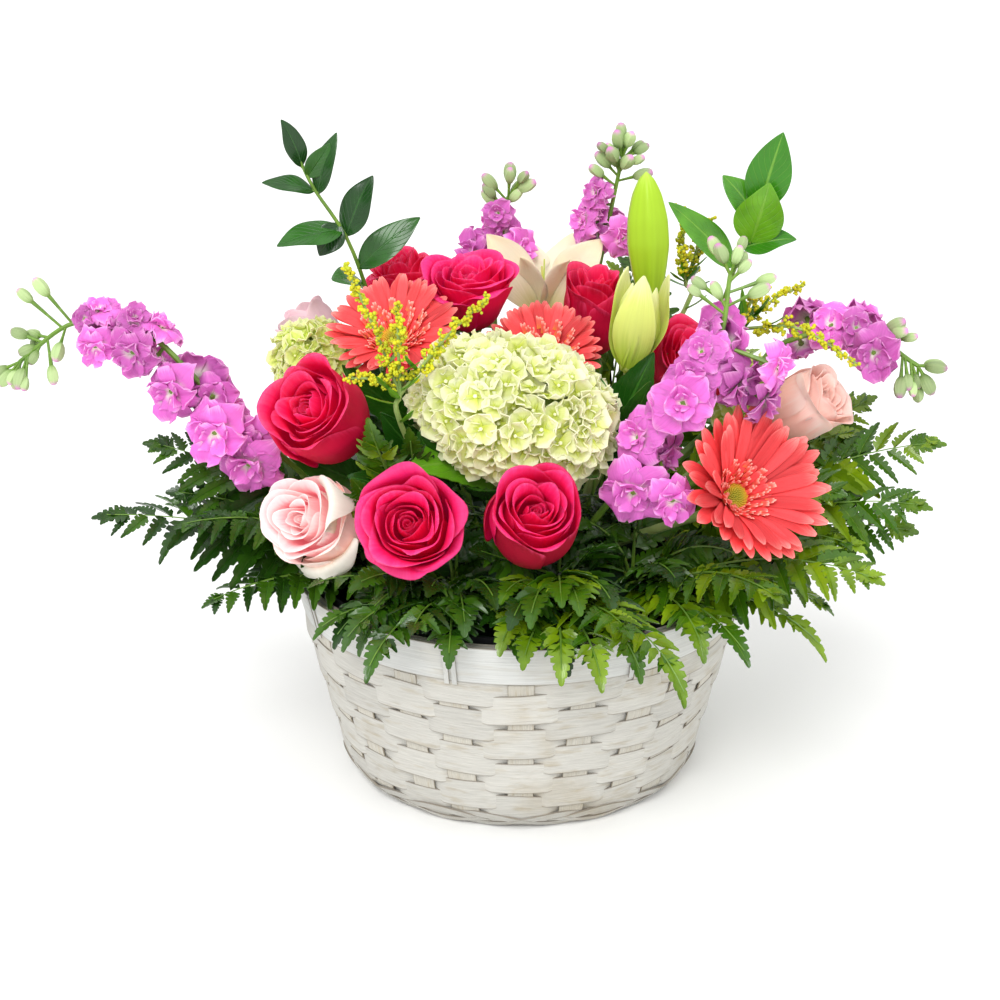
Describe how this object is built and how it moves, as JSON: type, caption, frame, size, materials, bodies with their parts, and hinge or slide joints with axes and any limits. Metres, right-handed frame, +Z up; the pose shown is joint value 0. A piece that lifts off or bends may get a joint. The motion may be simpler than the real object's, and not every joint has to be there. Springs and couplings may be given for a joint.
{
  "type": "flower basket arrangement",
  "caption": "Round low basket of whitewashed woven chip wood filled with pink, crimson and coral blooms, pale hydrangeas, lilac stocks and ferns",
  "frame": {"origin": "centre of the basket's underside, where it rests", "axes": "+X to the viewer's right, +Y to the back of the arrangement, +Z up"},
  "size_m": [0.5503, 0.3626, 0.396],
  "materials": {
    "chip_wood": "matte whitewash",
    "base_wood": "matte whitewash",
    "hoop_wood": "matte whitewash",
    "liner_plastic": "satin",
    "wet_foam": "matte, porous",
    "stem_green": "satin, living stem",
    "petal_blush": "soft petal",
    "petal_pink": "soft petal",
    "petal_crimson": "soft petal",
    "petal_peach": "soft petal",
    "petal_mauve": "soft petal",
    "petal_coral": "soft petal",
    "floret_cream": "soft petal",
    "floret_lilac": "soft petal",
    "tepal_cream": "waxy petal",
    "bud_lime": "waxy petal",
    "bud_pale": "waxy petal",
    "plume_yellow": "fluffy",
    "leaf_bright": "glossy leaf",
    "leaf_dark": "glossy leaf",
    "leaf_broad": "satin leaf",
    "fern_green": "glossy leaf"
  },
  "bodies": {
    "root": {"basket_base": "base_wood", "basket_wall": "chip_wood", "fern_back_left": "fern_green", "fern_back_right": "fern_green", "fern_front": "fern_green", "fern_front_left": "fern_green", "fern_front_right": "fern_green", "fern_left": "fern_green", "fern_right": "fern_green", "foam": "wet_foam", "gerbera_centre_rays": "petal_coral", "gerbera_centre_stem": "stem_green", "gerbera_left_rays": "petal_coral", "gerbera_left_stem": "stem_green", "gerbera_right_rays": "petal_coral", "gerbera_right_stem": "stem_green", "goldenrod_left": "plume_yellow", "goldenrod_mid": "plume_yellow", "goldenrod_right": "plume_yellow", "hydrangea_front_florets": "floret_cream", "hydrangea_front_stem": "stem_green", "hydrangea_left_florets": "floret_cream", "hydrangea_left_stem": "stem_green", "hydrangea_right_florets": "floret_cream", "hydrangea_right_stem": "stem_green", "leaf_pair": "leaf_broad", "lily_bud": "bud_lime", "lily_half_open": "bud_pale", "lily_open": "tepal_cream", "lily_stem": "stem_green", "liner": "liner_plastic", "rim_band_inner": "hoop_wood", "rim_band_outer": "hoop_wood", "rose_blush_bloom": "petal_blush", "rose_blush_stem": "stem_green", "rose_crimson_back_bloom": "petal_crimson", "rose_crimson_back_stem": "stem_green", "rose_crimson_centre_bloom": "petal_crimson", "rose_crimson_centre_stem": "stem_green", "rose_crimson_left_bloom": "petal_crimson", "rose_crimson_left_stem": "stem_green", "rose_crimson_right_bloom": "petal_crimson", "rose_crimson_right_stem": "stem_green", "rose_mauve_bloom": "petal_mauve", "rose_mauve_stem": "stem_green", "rose_peach_bloom": "petal_peach", "rose_peach_stem": "stem_green", "rose_pink_left_bloom": "petal_pink", "rose_pink_left_stem": "stem_green", "rose_pink_right_bloom": "petal_pink", "rose_pink_right_stem": "stem_green", "rose_pink_top_bloom": "petal_pink", "rose_pink_top_stem": "stem_green", "ruscus_left": "leaf_dark", "ruscus_right": "leaf_bright", "stock_front": "floret_lilac", "stock_left": "floret_lilac", "stock_mid_left": "floret_lilac", "stock_mid_right": "floret_lilac", "stock_right": "floret_lilac"}
  },
  "joints": []
}
